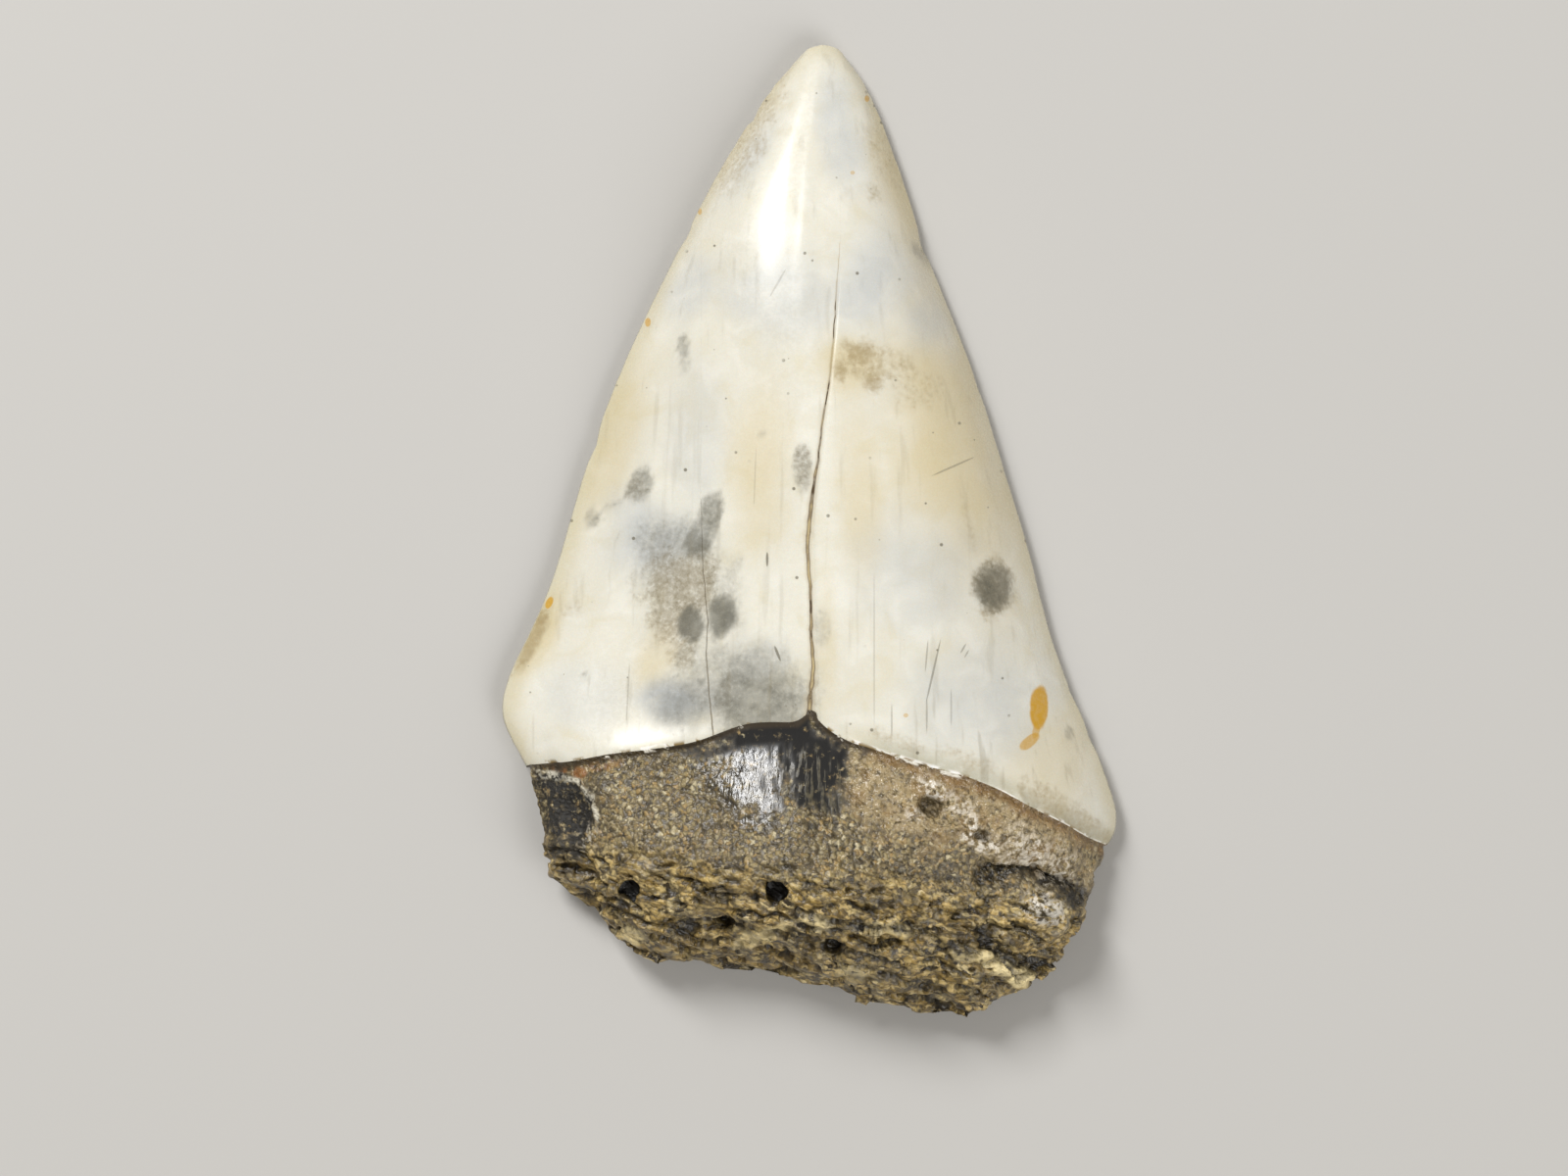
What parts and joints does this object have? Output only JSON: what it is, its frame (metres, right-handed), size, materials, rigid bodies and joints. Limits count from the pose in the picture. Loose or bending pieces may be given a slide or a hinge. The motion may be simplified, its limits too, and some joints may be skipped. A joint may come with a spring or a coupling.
{
  "type": "fossil shark tooth",
  "caption": "Fossil shark tooth: broad triangular enamel crown without serrations on a worn, broken root, lying on its flat face.",
  "frame": {"origin": "centre of the tooth's bounding box in plan, at the height of the flat labial face it lies on", "axes": "+Y from the root towards the tip, +Z out of the convex lingual face, +X to the right seen from above"},
  "size_m": [0.0356, 0.056, 0.0093],
  "materials": {
    "tooth": "naturally polished mineralised enamel on a rough dark root"
  },
  "bodies": {
    "root": {"tooth": "tooth"}
  },
  "joints": []
}
